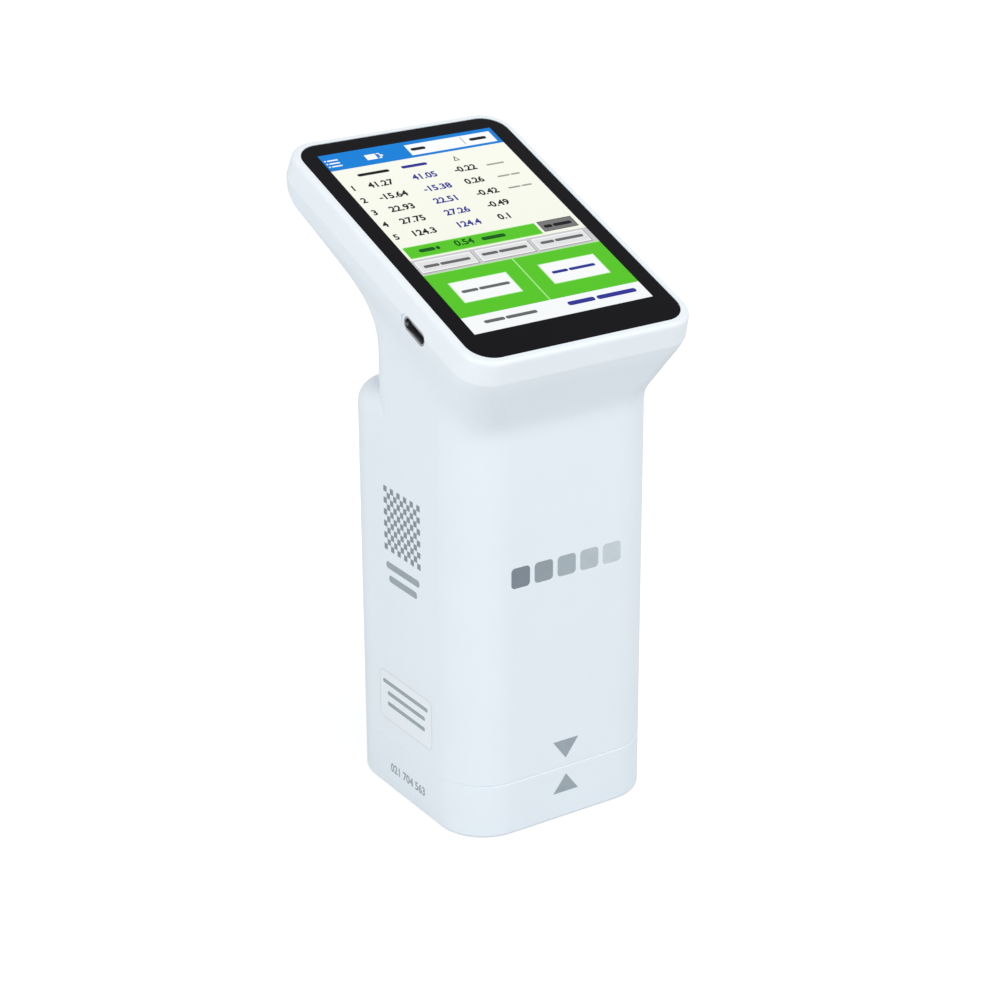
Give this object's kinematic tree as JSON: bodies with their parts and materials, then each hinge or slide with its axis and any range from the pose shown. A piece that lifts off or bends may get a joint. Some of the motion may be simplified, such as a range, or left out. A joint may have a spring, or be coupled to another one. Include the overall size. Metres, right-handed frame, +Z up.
{
  "type": "portable colorimeter",
  "caption": "Handheld colorimeter: square column with a measuring port under it, a tilted touch-screen head, and a slip-on calibration cap that holds a white tile.",
  "frame": {"origin": "centre of the calibration cap's underside, on the column's axis, where the cap rests on the table", "axes": "+Z up along the column; the screen faces -Y and upwards; the socket is on the -X side"},
  "size_m": [0.0635, 0.088, 0.1562],
  "materials": {
    "housing_plastic": "fine matte",
    "bezel_plastic": "fine matte",
    "cap_plastic": "fine matte",
    "base_plastic": "fine matte",
    "key_plastic": "fine matte",
    "cover_glass": "polished, printed black round the screen",
    "display_face": "lit screen",
    "foam": "closed foam",
    "gasket_rubber": "matte",
    "ceramic_white": "diffuse white",
    "ring_metal": "satin anodised",
    "aperture_metal": "black anodised",
    "sphere_white": "diffuse white",
    "screw_steel": "plain",
    "board_green": "solder mask",
    "chip_black": "moulded",
    "lamp_clear": "clear",
    "lens_glass": "polished",
    "barrel_black": "black anodised",
    "socket_steel": "plated",
    "flex_amber": "polyimide",
    "battery_foil": "satin foil",
    "bracket_metal": "plain"
  },
  "bodies": {
    "calibration_cap": {"cap_shell": "cap_plastic", "tile_cushion": "foam", "white_tile": "ceramic_white", "tile_ring": "ring_metal"},
    "instrument": {"main_housing": "housing_plastic", "bezel_frame": "bezel_plastic", "cover_glass": "cover_glass", "bezel_gasket": "gasket_rubber", "display_panel": "display_face", "display_bracket": "bracket_metal", "bracket_screws": "screw_steel", "main_board": "board_green", "board_chips": "chip_black", "board_screws": "screw_steel", "usb_socket": "socket_steel", "power_switch": "chip_black", "buzzer": "chip_black", "display_flex": "flex_amber", "sensor_ribbon": "flex_amber", "base_cover": "base_plastic", "aperture_plate": "aperture_metal", "port_seal": "foam", "base_screws": "screw_steel", "sphere_lower": "sphere_white", "sphere_upper": "sphere_white", "sphere_baffle": "sphere_white", "sphere_screws": "screw_steel", "lamp_board": "board_green", "board_lamps": "lamp_clear", "sensor_barrel": "barrel_black", "sensor_lens": "lens_glass", "sensor_board": "board_green", "colour_sensor": "chip_black", "battery": "battery_foil", "battery_tray": "base_plastic", "tray_screws": "screw_steel"},
    "power_key": {"power_key": "key_plastic"}
  },
  "joints": [
    {"name": "instrument_lift", "type": "slide", "parent": "calibration_cap", "child": "instrument", "axis": [0, 0, 1], "range_m": [0, 0.03]},
    {"name": "power_key_press", "type": "slide", "parent": "instrument", "child": "power_key", "axis": [-1, 0, 0], "range_m": [0, 0.0005], "stiffness_N_per_m": 2000}
  ]
}
